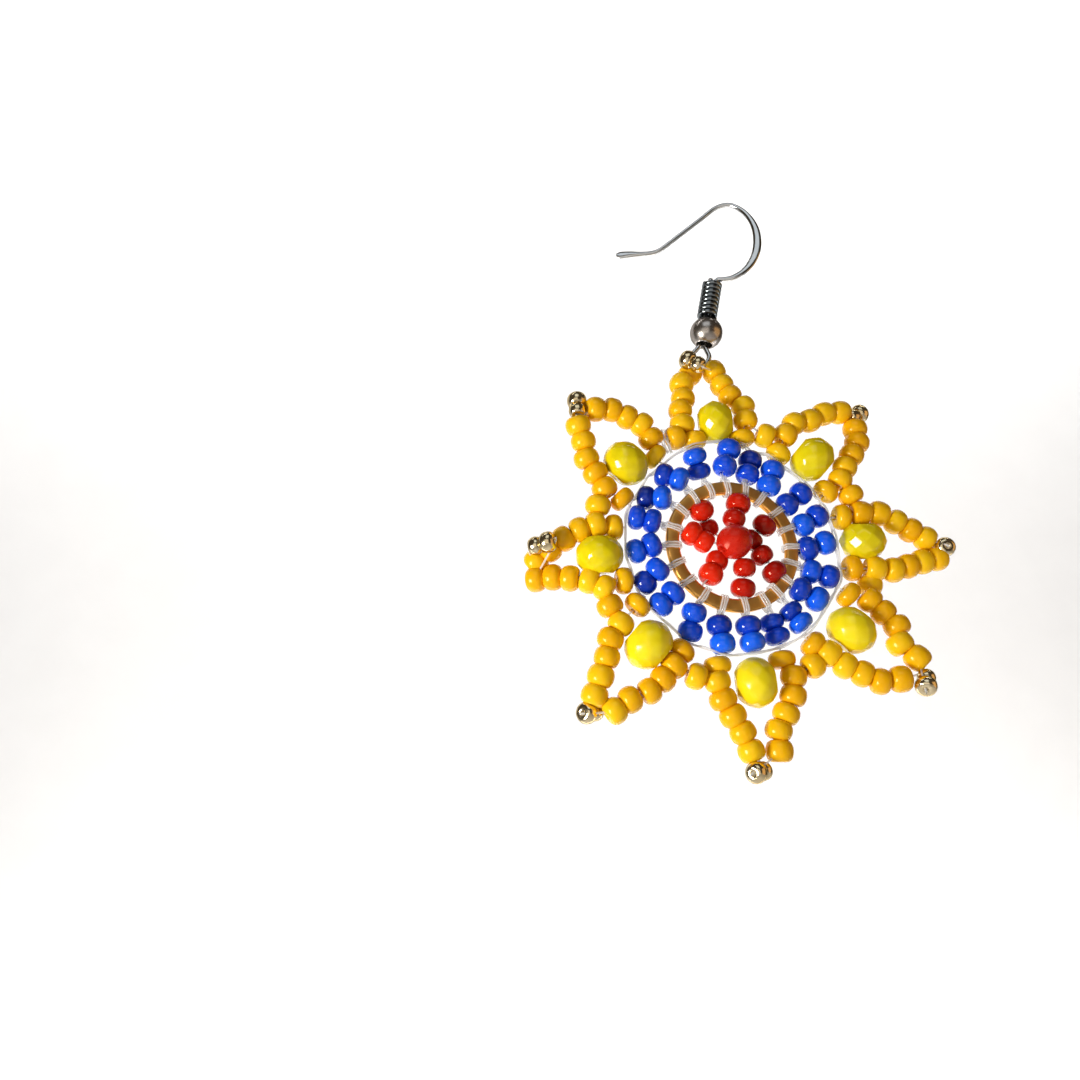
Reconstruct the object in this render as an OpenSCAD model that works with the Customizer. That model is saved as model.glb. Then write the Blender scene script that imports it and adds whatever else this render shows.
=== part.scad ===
// Seed bead star earring: a flat gold ring with a red flower inside and a blue band outside,
// eight pointed petals of strung beads, and an ear hook with a ball and a coil.
// Millimetres. The star faces -Y, +Z is up, and the origin is where the hook hangs in the ear.

/* [Seed beads] */
// Diameter of a strung row of seed beads
string_d = 2.9; // [2.7:0.1:3]
// Length of one seed bead along its thread
bead_len = 2.05; // [1.9:0.05:2.1]
// Diameter of the clear thread
thread_d = 0.3; // [0.2:0.05:0.35]

/* [Gold ring] */
// Outer diameter of the flat ring
ring_od = 15.8; // [15:0.1:16.2]
// Inner diameter of the flat ring
ring_id = 12.8; // [12.7:0.1:13.4]
// Thickness of the flat ring from front to back
ring_thick = 0.9; // [0.6:0.1:1.4]

/* [Flower and band] */
// Diameter of the faceted bead in the middle of the flower
heart_d = 4; // [3.8:0.1:4.2]
// Inner radius of the blue band
band_in = 8.6; // [8.3:0.1:9]

/* [Petals] */
// Distance from the star's middle to the middle of each faceted bead
stone_r = 16.1; // [16:0.1:16.4]
// Diameter of a faceted bead
stone_d = 5.7; // [5:0.1:5.7]
// Length of a faceted bead along its hole
stone_len = 4.3; // [4:0.1:4.4]
// Diameter of a gold tip bead
tip_d = 2; // [1.6:0.1:2]
// Length of a gold tip bead
tip_len = 1.4; // [1:0.05:1.4]

/* [Ear hook] */
// Diameter of the hook's wire
wire_d = 0.62; // [0.5:0.02:0.64]
// Inner radius of the eye at the foot of the hook
eye_in = 0.8; // [0.75:0.05:0.9]
// Diameter of the ball
ball_d = 4.1; // [3.6:0.1:4.2]
// Lean of the hook to the right, in degrees
hook_lean = 16; // [0:1:20]
// Turn of the hook about the vertical, in degrees
hook_turn = -20; // [-30:1:0]

/* [Hidden] */
$fn = 48;
PETAL_COUNT = 8;
PETAL_STEP = 360 / PETAL_COUNT;

// One row for each petal, clockwise from the top: how far forward its foot stands and how much
// further its point bends forward. Then of its faceted bead the sideways place, how far it sits
// inside the common radius, its share of the common size, and its hole's turn to the front
STAND = 0;
LIFT = 1;
STONE_T = 2;
STONE_IN = 3;
STONE_SHARE = 4;
STONE_YAW = 5;
PETALS = [
    [0, -1.8, 0.1, 0.2, 0.93, -18], [0, -0.5, -0.45, 0.25, 1, -3],
    [0, 0, 0.3, 0.1, 0.96, 10], [0.8, 1.2, 0.98, 0.2, 1.02, 18],
    [0, -0.5, -0.02, 0.35, 1, 18], [0, -0.5, -0.46, 0.1, 1.02, 3],
    [0, -2.6, 0.57, 0, 0.97, -12], [0, 0.8, 0.85, 0.25, 1, -18]
];

// One row for each arm, left and right, petal by petal: the sideways place of the base bead,
// the radius and sideways place of the first and of the last bead, and the bow between them
BASE_T = 0;
FOOT_R = 1;
FOOT_T = 2;
END_R = 3;
END_T = 4;
BOW = 5;
ARMS = [
    [3.55, 15.7, 4.25, 23.4, 1.65, 0.7], [-3.45, 16.2, -4.05, 23.4, -1.55, 0],
    [3.3, 16.1, 4, 24.1, 0.85, 0.7], [-4, 16.1, -4.5, 23.6, -2.45, 0.5],
    [3.8, 16.1, 4.1, 24.2, 0.65, 0.8], [-3.3, 16.5, -3.45, 24.5, -2.55, 0.4],
    [4.45, 15.6, 5.4, 23.2, 2.95, 0.5], [-3.1, 15.6, -3, 23, -0.45, 0.95],
    [3.65, 15.4, 4.53, 23.1, 1.6, 0], [-3.8, 15.5, -4.4, 23, -1.6, 0.2],
    [3.1, 16, 3.4, 24, 1.45, 0.5], [-4.03, 16.2, -4.46, 24.1, -1.6, 0.3],
    [4, 15.9, 4.5, 23.1, 2.8, 0.1], [-3, 16.1, -3.3, 22.9, -0.45, 0.6],
    [4.2, 15.7, 5, 22.9, 1.55, 0.5], [-3, 15.8, -3.65, 22.8, -1.65, 1.1]
];
BASE_RADIUS = 13.75;
function arm_row(k, side) = ARMS[2 * k + (side > 0 ? 0 : 1)];

// The flower's spokes: the angle from +X towards +Z, and how far back the inner bead sits
SPOKES = [[31, 0.65], [77, -0.4], [125, 0.9], [168, -0.45], [222, 0.35], [272, -0.35], [323, 0.4]];
SPOKE_GAP = 0.3;
// The middle of the ring and the flower, a little off the star's middle
HUB = [-0.3, 0, 0.1];

STRING_SIDES = 8;
STRING_R = string_d / 2;
THREAD_R = thread_d / 2;

// The eye's middle, from the star's middle
eye_at = [0, 1.8, 25.9];
eye_r = eye_in + wire_d / 2;
// Radius of the thread loop's own ring, which goes round the bottom of the eye
loop_r = 0.65;
// Where the hook hangs, in the hook's own plane
hang_in_hook = [-0.2, 22.44];

function unit(v) = v / norm(v);
function lean_turn(p) = let (
    x = p[0] * cos(hook_lean) + p[1] * sin(hook_lean),
    z = -p[0] * sin(hook_lean) + p[1] * cos(hook_lean)
) [x * cos(hook_turn), x * sin(hook_turn), z];
hang_at = eye_at + lean_turn(hang_in_hook);

// A point of a petal from its radius, its sideways place and its depth
function petal_angle(k) = 90 - PETAL_STEP * k;
function petal_point(k, r, t, y) = let (a = petal_angle(k)) [
    r * cos(a) - t * sin(a),
    y,
    r * sin(a) + t * cos(a)
];

// The middle line of an arm: side is 1 for the left arm and -1 for the right
function arm_point(k, side, u) = let (
    row = arm_row(k, side),
    r = row[FOOT_R] + (row[END_R] - row[FOOT_R]) * u,
    t = row[FOOT_T] + (row[END_T] - row[FOOT_T]) * u,
    out = side * row[BOW] * 4 * u * (1 - u)
) petal_point(k, r, t + out, -PETALS[k][STAND] - PETALS[k][LIFT] * pow(u, 1.5));

// One ring of a swept tube that lies about upright, square to the way it runs
function tube_ring(p, along, r, sides) = let (
    side_way = unit(cross(along, [0, 1, 0])),
    front_way = cross(side_way, along)
) [for (i = [0:sides - 1]) let (a = 360 * (i + 0.5) / sides)
    p + r * (cos(a) * side_way + sin(a) * front_way)];
function way(path, i) = let (n = len(path) - 1)
    unit(path[min(i + 1, n)] - path[max(i - 1, 0)]);

// The skin over a list of rings that have the same number of points
module skin(rings) {
    n = len(rings[0]);
    last = len(rings) - 1;
    sides = [for (i = [0:last - 1], j = [0:n - 1]) let (m = (j + 1) % n)
        [i * n + j, i * n + m, (i + 1) * n + m, (i + 1) * n + j]];
    foot = [[for (j = [n - 1:-1:0]) j]];
    head = [[for (j = [0:n - 1]) last * n + j]];
    polyhedron(points = [for (ring = rings) each ring], faces = concat(foot, sides, head));
}

// Half the outline of a bead with round edges, from its hole's axis, standing on the X axis
module bead_outline(d, length, edge) {
    square([d / 2 - edge, length]);
    translate([0, edge]) square([d / 2, length - 2 * edge]);
    for (y = [edge, length - edge]) {
        translate([d / 2 - edge, y]) circle(edge);
    }
}

// A drilled bead with round edges, its hole along Z
module round_bead(d, length, hole, edge) {
    translate([0, 0, -length / 2]) rotate_extrude() difference() {
        bead_outline(d, length, edge);
        translate([0, -length]) square([hole / 2, 3 * length]);
    }
}

// A drilled bead cut with rows of diamond facets and a flat table at each end, its hole along Z
CUT_SIDES = 8;
CUT_ROWS = [[-0.5, 0.515, 1], [-0.38, 0.747, 0], [-0.22, 0.924, 1], [0, 1, 0],
    [0.22, 0.924, 1], [0.38, 0.747, 0], [0.5, 0.515, 1]];
module faceted_bead(d, length, hole) {
    n = CUT_SIDES;
    last = len(CUT_ROWS) - 1;
    points = [for (row = CUT_ROWS, j = [0:n - 1]) let (a = 360 * (j + row[2] / 2) / n)
        [row[1] * d / 2 * cos(a), row[1] * d / 2 * sin(a), row[0] * length]];
    diamonds = [for (i = [1:last - 1], j = [0:n - 1]) let (m = (j + CUT_ROWS[i][2]) % n)
        [i * n + j, (i + 1) * n + m, i * n + (j + 1) % n, (i - 1) * n + m]];
    foot_corners = [for (j = [0:n - 1]) [j, n + (j + 1) % n, (j + 1) % n]];
    head_corners = [for (j = [0:n - 1])
        [last * n + j, last * n + (j + 1) % n, (last - 1) * n + (j + 1) % n]];
    foot = [[for (j = [0:n - 1]) j]];
    head = [[for (j = [n - 1:-1:0]) last * n + j]];
    difference() {
        polyhedron(points, concat(foot, foot_corners, diamonds, head_corners, head));
        cylinder(h = 2 * length, d = hole, center = true);
    }
}

// The star is drawn about its own middle, then set under the hang point
module in_star() {
    translate(-hang_at) children();
}
module in_petal(k, r, t, y) {
    translate(petal_point(k, r, t, y)) rotate([0, -petal_angle(k), 0]) children();
}
module in_hook() {
    translate(eye_at - hang_at) rotate([0, 0, hook_turn]) rotate([0, hook_lean, 0]) children();
}

// Middle line of the hook's wire: the short strand down through the coil and the ball, the
// eye, the long strand up again, and then the arch. Columns: across, up, width, thickness.
strand_x = wire_d / 2 + 0.01;
w = wire_d;
SHORT_STRAND = [[-strand_x, 11.35], [-strand_x, 6], [-strand_x, 1.85], [-0.36, 1.55], [-0.52, 1.25]];
EYE = [for (a = [140:20:400]) eye_r * [cos(a), sin(a)]];
LONG_STRAND = [[0.52, 1.25], [0.36, 1.55], [strand_x, 1.85], [strand_x, 6], [strand_x, 10.6]];
ARCH = [
    [0.32, 10.9, w, w], [0.55, 11.32, w, w], [1.35, 11.44, w, w], [2.5, 11.8, 0.72, 0.58],
    [3.7, 12.8, 0.86, 0.5], [4.55, 14.3, 1.0, 0.44], [4.9, 16.2, 1.1, 0.42],
    [4.65, 18.3, 1.04, 0.44], [3.85, 20.2, 0.88, 0.5], [2.4, 21.85, 0.7, 0.6],
    [0.5, 22.75, w, w], [-1.3, 22.15, w, w], [-3, 20.3, w, w], [-5.2, 17.9, w, w],
    [-7.4, 15.5, w, w], [-8.5, 14.8, w, w], [-9.9, 14.55, w, w], [-11.5, 14.4, 0.78, 0.5],
    [-12.7, 14.2, 0.96, 0.4], [-13.3, 14.1, 0.55, 0.3]
];
ARCH_STEPS = 3;
WIRE_SIDES = 10;

// A smooth curve through the rows of a table
function between(a, b, c, d, u) = 0.5 * (2 * b + (c - a) * u
    + (2 * a - 5 * b + 4 * c - d) * u * u + (3 * b - a - 3 * c + d) * u * u * u);
function smooth(rows, steps) = let (n = len(rows) - 1) concat(
    [for (i = [0:n - 1], s = [0:steps - 1])
        between(rows[max(i - 1, 0)], rows[i], rows[i + 1], rows[min(i + 2, n)], s / steps)],
    [rows[n]]
);
WIRE = concat(
    [for (p = concat(SHORT_STRAND, EYE, LONG_STRAND)) [p[0], p[1], w, w]],
    smooth(ARCH, ARCH_STEPS)
);
function wire_ring(i) = let (
    n = len(WIRE) - 1,
    a = WIRE[max(i - 1, 0)],
    b = WIRE[min(i + 1, n)],
    along = unit([b[0] - a[0], 0, b[1] - a[1]]),
    across = [-along[2], 0, along[0]],
    row = WIRE[i]
) [for (j = [0:WIRE_SIDES - 1]) let (q = 360 * (j + 0.5) / WIRE_SIDES)
    [row[0], 0, row[1]] + across * row[2] / 2 * cos(q) + [0, 1, 0] * row[3] / 2 * sin(q)];

// Coil round the two strands, just above the ball
coil_wire = 0.5;
coil_r = 1;
coil_pitch = 0.6;
coil_turns = 8.5;
ball_at = [0.25, 0, 3.5];
coil_up = 5.65;
ball_hole = 2;
COIL_STEPS = 14;
COIL_SIDES = 6;
function coil_ring(i) = let (a = 360 * i / COIL_STEPS, out = [cos(a), sin(a), 0])
    [for (j = [0:COIL_SIDES - 1]) let (q = 360 * j / COIL_SIDES)
        coil_r * out + [0, 0, coil_up + coil_pitch * i / COIL_STEPS]
        + coil_wire / 2 * (cos(q) * out + sin(q) * [0, 0, 1])];

module ear_hook() {
    color("silver") in_hook() skin([for (i = [0:len(WIRE) - 1]) wire_ring(i)]);
}

module hook_ball() {
    color("silver") in_hook() translate(ball_at) difference() {
        sphere(d = ball_d);
        cylinder(h = 2 * ball_d, d = ball_hole, center = true);
    }
}

module hook_coil() {
    color("silver") in_hook() skin([for (i = [0:COIL_STEPS * coil_turns]) coil_ring(i)]);
}

// Thread that passes through the eye and ties the star to the hook
module top_loop() {
    color("whitesmoke") in_star() translate(eye_at - [0, 0, eye_r])
        rotate([0, 0, hook_turn]) rotate([0, 90, 0])
        rotate_extrude() translate([loop_r, 0]) circle(THREAD_R);
}

module at_hub() {
    in_star() translate(HUB) children();
}
module gold_ring() {
    color("goldenrod") at_hub() rotate([90, 0, 0]) difference() {
        cylinder(h = ring_thick, d = ring_od, center = true);
        cylinder(h = 2 * ring_thick, d = ring_id, center = true);
    }
}

// The bead in the middle stands a little in front of the spokes' inner ends
HEART_HOLE = 0.8;
HEART_LENGTH = 0.92;
HEART_FORWARD = 1.38;
module in_heart() {
    at_hub() translate([0, -HEART_FORWARD, 0]) rotate([0, 90 - SPOKES[0][0], 0]) children();
}
module heart_bead() {
    color("red") in_heart() faceted_bead(heart_d, heart_d * HEART_LENGTH, HEART_HOLE);
}

// A red spoke: two seed beads on one thread from the ring inwards, the inner one a little
// narrower. The spoke leans in depth about its outer end.
SPOKE_D = [2.2, 2.7];
SPOKE_EDGE = 0.5;
SPOKE_NECK = 0.7;
spoke_end = ring_id / 2 - SPOKE_GAP;
module red_spoke(k) {
    color("red") at_hub() rotate([0, 90 - SPOKES[k][0], 0]) translate([0, 0, spoke_end])
        rotate([atan2(SPOKES[k][1], 1.5 * bead_len), 0, 0]) rotate_extrude() {
            for (i = [0, 1]) {
                translate([0, (i - 2) * bead_len]) bead_outline(SPOKE_D[i], bead_len, SPOKE_EDGE);
            }
            translate([0, -2 * bead_len]) square([SPOKE_NECK, 2 * bead_len]);
        }
}

// The blue band: two rows of seed beads side by side all the way round
BAND_EDGE = 0.55;
module blue_band() {
    color("royalblue") in_star() rotate([90, 0, 0]) rotate_extrude() for (row = [0, 1]) {
        translate([band_in + row * bead_len, 0]) {
            translate([0, BAND_EDGE - STRING_R]) square([bead_len, string_d - 2 * BAND_EDGE]);
            translate([BAND_EDGE, -STRING_R]) square([bead_len - 2 * BAND_EDGE, string_d]);
            for (x = [BAND_EDGE, bead_len - BAND_EDGE], y = [BAND_EDGE - STRING_R, STRING_R - BAND_EDGE]) {
                translate([x, y]) circle(BAND_EDGE);
            }
        }
    }
}

// A faceted bead at the foot of a petal, its hole across the petal
STONE_HOLE = 0.9;
STONE_SPIN = [10, 24, 14, 36, 0, 20, 30, 5];
module in_stone(k) {
    in_star() in_petal(k, stone_r - PETALS[k][STONE_IN], PETALS[k][STONE_T], -PETALS[k][STAND])
        rotate([PETALS[k][STONE_YAW], 0, 0]) rotate([0, 0, STONE_SPIN[k]]) children();
}
module stone(k) {
    share = PETALS[k][STONE_SHARE];
    color("yellow") in_stone(k) faceted_bead(share * stone_d, share * stone_len, STONE_HOLE);
}

// One arm of a petal: the base bead beside the faceted bead, then five beads to the point.
// The tables round its two ends: how far out, how far aside, and the share of its full width.
ARM_STEPS = 4;
ARM_START = [[-0.9, 0, 0.6], [-0.6, 0, 0.92], [-0.2, 0, 1]];
ARM_ROUND = [[0.2, 0, 1], [0.6, 0.1, 0.72], [0.9, 0.15, 0.45]];
function end_ring(p, k, side, q) = let (out = petal_point(k, 1, 0, 0))
    tube_ring(p + q[0] * out + q[1] * petal_point(k, 0, side, 0), out, q[2] * STRING_R, STRING_SIDES);
function arm_rings(k, side) = let (
    base_t = arm_row(k, side)[BASE_T],
    base = petal_point(k, BASE_RADIUS, base_t, -PETALS[k][STAND]),
    run = concat([base], [for (i = [0:ARM_STEPS]) arm_point(k, side, i / ARM_STEPS)]),
    last = len(run) - 1
) concat(
    [for (q = ARM_START) end_ring(base, k, side, q)],
    [for (i = [1:last - 1]) tube_ring(run[i], way(run, i), STRING_R, STRING_SIDES)],
    [for (q = ARM_ROUND) end_ring(run[last], k, side, q)]
);
module arm(k, side) {
    color("gold") in_star() skin(arm_rings(k, side));
}

// The bead that links two petals, half way between the first beads of their arms. Columns of
// the table: radius, length and how far back the bead sits.
VALLEY_D = 2.7;
VALLEY_HOLE = 0.6;
VALLEY_EDGE = 0.5;
VALLEYS = [
    [15.5, 1.42, 0], [17.1, 1.24, 0], [17.36, 1.02, 1], [16.3, 1.46, -0.4],
    [16.4, 1.6, 0], [17.4, 1.02, 0.1], [16.9, 1.42, 0], [15.1, 1.48, 0]
];
function foot_angle(k, side) = let (row = arm_row(k, side))
    petal_angle(k) + atan2(row[FOOT_T], row[FOOT_R]);
function valley_angle(k) = let (next = (k + 1) % PETAL_COUNT)
    (foot_angle(k, -1) + foot_angle(next, 1) + (next == 0 ? -360 : 0)) / 2;
module in_valley(k) {
    in_star() rotate([0, 90 - valley_angle(k), 0]) translate([0, VALLEYS[k][2], VALLEYS[k][0]])
        rotate([0, 90, 0]) children();
}
module valley_bead(k) {
    color("gold") in_valley(k) round_bead(VALLEY_D, VALLEYS[k][1], VALLEY_HOLE, VALLEY_EDGE);
}

// The two gold beads at a petal's point share one thread. For each petal the front bead, then
// the other: radius, sideways place and depth.
TIP_HOLE = 0.6;
TIP_EDGE = 0.45;
TIPS = [
    [[24.19, 2.58, -0.48], [23.13, 1.65, -1.2]], [[26.67, -1.5, 1.57], [25.23, -1.04, 1.1]],
    [[25.89, -0.99, -0.82], [26.25, -0.77, 0.74]], [[25.29, 0.38, -3.12], [25.14, 1.67, -2.24]],
    [[25.34, -1.7, -0.51], [25.16, -0.52, 0.47]], [[26.05, -0.79, 1.16], [25.11, -0.15, 2.22]],
    [[22.02, -0.81, -0.92], [23.27, -0.73, -0.03]], [[25.19, -1.14, -0.31], [24.22, 0.01, -0.67]]
];
function tip_spot(k, i) = petal_point(k, TIPS[k][i][0], TIPS[k][i][1], TIPS[k][i][2]);
module in_tips(k, spot) {
    along = unit(tip_spot(k, 1) - tip_spot(k, 0));
    in_star() translate(spot) rotate([0, acos(along[2]), atan2(along[1], along[0])]) children();
}
module tip_beads(k) {
    for (i = [0, 1]) {
        color("gold") in_tips(k, tip_spot(k, i)) round_bead(tip_d, tip_len, TIP_HOLE, TIP_EDGE);
    }
}

// The thread inside each drilled bead, one piece for both gold beads of a point
THREAD_OUT = 0.03;
module strand(length) {
    color("whitesmoke") cylinder(h = length + 2 * THREAD_OUT, d = thread_d, center = true);
}
module bead_threads() {
    in_heart() strand(heart_d * HEART_LENGTH);
    for (k = ALL) {
        in_stone(k) strand(PETALS[k][STONE_SHARE] * stone_len);
        in_valley(k) strand(VALLEYS[k][1]);
        in_tips(k, (tip_spot(k, 0) + tip_spot(k, 1)) / 2)
            strand(norm(tip_spot(k, 1) - tip_spot(k, 0)) + tip_len);
    }
}

ALL = [0:PETAL_COUNT - 1];

ear_hook();
hook_ball();
hook_coil();
top_loop();
gold_ring();
blue_band();
heart_bead();
bead_threads();
for (k = [0:len(SPOKES) - 1]) {
    red_spoke(k);
}
for (k = ALL) {
    stone(k);
    arm(k, 1);
    arm(k, -1);
    tip_beads(k);
    valley_bead(k);  // valley_beads
}
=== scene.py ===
import random
from math import atan2, cos, degrees, hypot, pi, radians, sin

import bmesh
import bpy
from mathutils import Matrix, Vector


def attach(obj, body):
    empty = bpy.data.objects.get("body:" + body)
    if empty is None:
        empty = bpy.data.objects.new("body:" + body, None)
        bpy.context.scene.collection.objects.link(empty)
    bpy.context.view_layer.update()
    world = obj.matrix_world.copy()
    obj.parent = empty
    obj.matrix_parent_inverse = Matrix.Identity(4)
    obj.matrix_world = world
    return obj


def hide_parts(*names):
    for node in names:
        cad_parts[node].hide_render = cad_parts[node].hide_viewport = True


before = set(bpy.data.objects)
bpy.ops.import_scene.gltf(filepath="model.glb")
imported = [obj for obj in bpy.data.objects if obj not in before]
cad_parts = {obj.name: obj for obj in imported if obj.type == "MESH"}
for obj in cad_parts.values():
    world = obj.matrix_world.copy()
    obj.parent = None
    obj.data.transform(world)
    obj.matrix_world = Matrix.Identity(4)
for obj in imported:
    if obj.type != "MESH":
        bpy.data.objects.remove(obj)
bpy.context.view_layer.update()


# The view of the photograph: the star hangs a little above the eye and to its right, and the
# camera looks up at it from close by, so the star is seen from below and from its left.
MM = 0.001
CAMERA_AT = Vector((-45.10, -93.64, -78.20)) * MM
CAMERA_RIGHT = Vector((0.9858, -0.1495, -0.0767))
CAMERA_UP = Vector((0.0239, -0.3270, 0.9447))
CAMERA_LENS = 30
CAMERA_SENSOR = 36

camera = bpy.data.cameras.new("photo_view")
camera.lens = CAMERA_LENS
camera.sensor_width = CAMERA_SENSOR
camera.clip_start = 0.001
camera_rig = bpy.data.objects.new("photo_view", camera)
bpy.context.scene.collection.objects.link(camera_rig)
camera_back = CAMERA_RIGHT.cross(CAMERA_UP)
camera_rig.matrix_world = Matrix.Translation(CAMERA_AT) @ Matrix(
    (CAMERA_RIGHT, CAMERA_UP, camera_back)).transposed().to_4x4()
bpy.context.scene.camera = camera_rig


# The ear hook: one steel wire that runs down through coil and ball, turns round in an eye,
# runs up again beside itself and bends into the arch. The arch is hammered flat at its front
# and at its tail. All tables of the hook are in its own plane, in millimetres from the eye.
WIRE = 0.62
STRAND_X = 0.32
EYE_R = 1.11
HOOK_STEPS = 6
WIRE_SIDES = 18
EYE_AT = Vector((-5.6316, 2.0497, -21.6258))
HOOK_TURN = Matrix.Rotation(radians(-20), 3, "Z") @ Matrix.Rotation(radians(16), 3, "Y")
STRAND_DOWN = [(-STRAND_X, 11.35), (-STRAND_X, 9), (-STRAND_X, 6), (-STRAND_X, 3.5),
               (-STRAND_X, 1.85), (-0.36, 1.55), (-0.52, 1.25)]
EYE_TURN = [(EYE_R * cos(radians(a)), EYE_R * sin(radians(a))) for a in range(140, 401, 20)]
STRAND_UP = [(0.52, 1.25), (0.36, 1.55), (STRAND_X, 1.85), (STRAND_X, 3.5), (STRAND_X, 6),
             (STRAND_X, 9), (STRAND_X, 10.6)]
ARCH = [  # across, up, width, thickness
    (0.32, 10.9, 0.62, 0.62), (0.55, 11.32, 0.62, 0.62), (1.35, 11.44, 0.62, 0.62),
    (2.5, 11.8, 0.72, 0.58), (3.7, 12.8, 0.86, 0.50), (4.55, 14.3, 1.00, 0.44),
    (4.9, 16.2, 1.10, 0.42), (4.65, 18.3, 1.04, 0.44), (3.85, 20.2, 0.88, 0.50),
    (2.4, 21.85, 0.70, 0.60), (0.5, 22.75, 0.62, 0.62), (-1.3, 22.15, 0.62, 0.62),
    (-3, 20.3, 0.62, 0.62), (-5.2, 17.9, 0.62, 0.62), (-7.4, 15.5, 0.62, 0.62),
    (-8.5, 14.8, 0.62, 0.62), (-9.9, 14.55, 0.68, 0.58), (-11.5, 14.4, 0.92, 0.46),
    (-12.7, 14.2, 1.08, 0.38), (-13.3, 14.12, 0.72, 0.30)]


class Wire:
    """One socket of a material. Sums and products of wires add Math nodes to its tree."""

    def __init__(self, tree, socket=None):
        self.tree = tree
        self.socket = socket

    def node(self, kind, settings=None, inputs=None, output=0):
        made = self.tree.nodes.new("ShaderNode" + kind)
        for name, value in (settings or {}).items():
            if name == "stops":
                ramp = made.color_ramp
                while len(ramp.elements) < len(value):
                    ramp.elements.new(0.5)
                for element, (place, colour) in zip(ramp.elements, value):
                    element.position = place
                    element.color = (*colour, 1)
            else:
                setattr(made, name, value)
        for name, value in (inputs or {}).items():
            if isinstance(value, Wire):
                self.tree.links.new(value.socket, made.inputs[name])
            else:
                made.inputs[name].default_value = value
        return Wire(self.tree, made.outputs[output])

    def sum_of(self, operation, first, second):
        return self.node("Math", {"operation": operation}, {0: first, 1: second})

    def __add__(self, other):
        return self.sum_of("ADD", self, other)

    def __mul__(self, other):
        return self.sum_of("MULTIPLY", self, other)

    __radd__ = __add__
    __rmul__ = __mul__

    def dye(self, none, full):
        """The colour that goes from none to full as this value goes from 0 to 1."""
        return self.node("Mix", {"data_type": "RGBA"}, {0: self, 6: none, 7: full}, 2)

    def noise(self, scale, detail=2.0):
        place = self.node("TexCoord", output="Object")
        return self.node("TexNoise", None, {"Vector": place, "Scale": scale, "Detail": detail})

    def bump(self, height, strength, distance):
        return self.node("Bump", None, {"Height": height, "Strength": strength,
                                        "Distance": distance})


def new_finish(name, **constants):
    """A material with its constant sockets set; returns it and a wire to draw with."""
    finish = bpy.data.materials.new(name)
    finish.use_nodes = True
    shader = finish.node_tree.nodes["Principled BSDF"]
    for socket, value in constants.items():
        shader.inputs[socket.replace("_", " ")].default_value = value
    return finish, Wire(finish.node_tree)


def connect(finish, **wires):
    shader = finish.node_tree.nodes["Principled BSDF"]
    for socket, wire in wires.items():
        finish.node_tree.links.new(wire.socket, shader.inputs[socket.replace("_", " ")])


def between(a, b, c, d, u):
    """One value of a smooth curve through four values, between the middle two."""
    return 0.5 * (2 * b + (c - a) * u + (2 * a - 5 * b + 4 * c - d) * u * u
                  + (3 * b - a - 3 * c + d) * u ** 3)


def smooth_path(rows, steps, closed=False):
    n = len(rows)
    spans = n if closed else n - 1

    def row(i):
        return rows[i % n] if closed else rows[min(max(i, 0), n - 1)]

    path = [[between(*four, s / steps) for four in zip(row(i - 1), row(i), row(i + 1), row(i + 2))]
            for i in range(spans) for s in range(steps)]
    return path if closed else path + [list(rows[-1])]


def rings_skin(rings, closed=False):
    """Points and faces of a tube through rings of equally many points."""
    n, count = len(rings[0]), len(rings)
    points = [p for ring in rings for p in ring]
    faces = [(i * n + j, i * n + (j + 1) % n, (i + 1) % count * n + (j + 1) % n,
              (i + 1) % count * n + j)
             for i in range(count if closed else count - 1) for j in range(n)]
    if not closed:
        faces += [tuple(range(n - 1, -1, -1)), tuple((count - 1) * n + j for j in range(n))]
    return points, faces


def add_piece(name, skins, finish, body, nodes=(), tones_and_shade=None):
    """Joins skins, given in millimetres, into one piece that rides on a body."""
    points, faces, tone_and_shade_values = [], [], []
    for i, (skin_points, skin_faces) in enumerate(skins):
        start = len(points)
        points += [Vector(p) * MM for p in skin_points]
        faces += [tuple(start + v for v in face) for face in skin_faces]
        tone_and_shade_values += [tones_and_shade[i] if tones_and_shade else 0.5] * len(skin_points)
    mesh = bpy.data.meshes.new(name)
    mesh.from_pydata(points, [], faces)
    # Each skin's place on its colour ramp: random, and with painted shade on the red and blue
    # beads.
    mesh.attributes.new("tone", "FLOAT", "POINT").data.foreach_set("value", tone_and_shade_values)
    mesh.shade_smooth()
    form = bmesh.new()
    form.from_mesh(mesh)
    bmesh.ops.recalc_face_normals(form, faces=form.faces)
    form.to_mesh(mesh)
    form.free()
    mesh.materials.append(finish)
    piece = bpy.data.objects.new(name, mesh)
    bpy.context.scene.collection.objects.link(piece)
    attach(piece, body)
    if nodes:
        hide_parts(*nodes)
    return piece


def hook_point(across, depth, up):
    return EYE_AT + HOOK_TURN @ Vector((across, depth, up))


def wire_skin(rows, sides):
    """A swept wire in the hook's plane; rows of across, up, width and thickness."""
    rings = []
    for i, row in enumerate(rows):
        before, after = rows[max(i - 1, 0)], rows[min(i + 1, len(rows) - 1)]
        along = Vector((after[0] - before[0], after[1] - before[1])).normalized()
        across, up, width, thickness = row
        ring = []
        for j in range(sides):
            a = 2 * pi * j / sides
            out = width / 2 * cos(a)
            ring.append(hook_point(across - along.y * out, thickness / 2 * sin(a),
                                   up + along.x * out))
        rings.append(ring)
    return rings_skin(rings)


def steel_finish(name, dull, bright, edge, rough=0.08):
    """Polished steel, smoky in places, with tiny knocks in its gloss."""
    finish, wire = new_finish(name, Metallic=1.0, Specular_Tint=(edge, edge, edge, 1))
    knocks = wire.noise(900, 3)
    smoke = wire.noise(140, 2)
    connect(finish, Base_Color=smoke.dye((*dull, 1), (*bright, 1)),
            Roughness=rough + 0.12 * knocks, Normal=wire.bump(knocks, 0.12, 0.0001))
    return finish


steel = steel_finish("polished_steel", (0.50, 0.49, 0.47), (0.78, 0.80, 0.82), 0.06)

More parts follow.
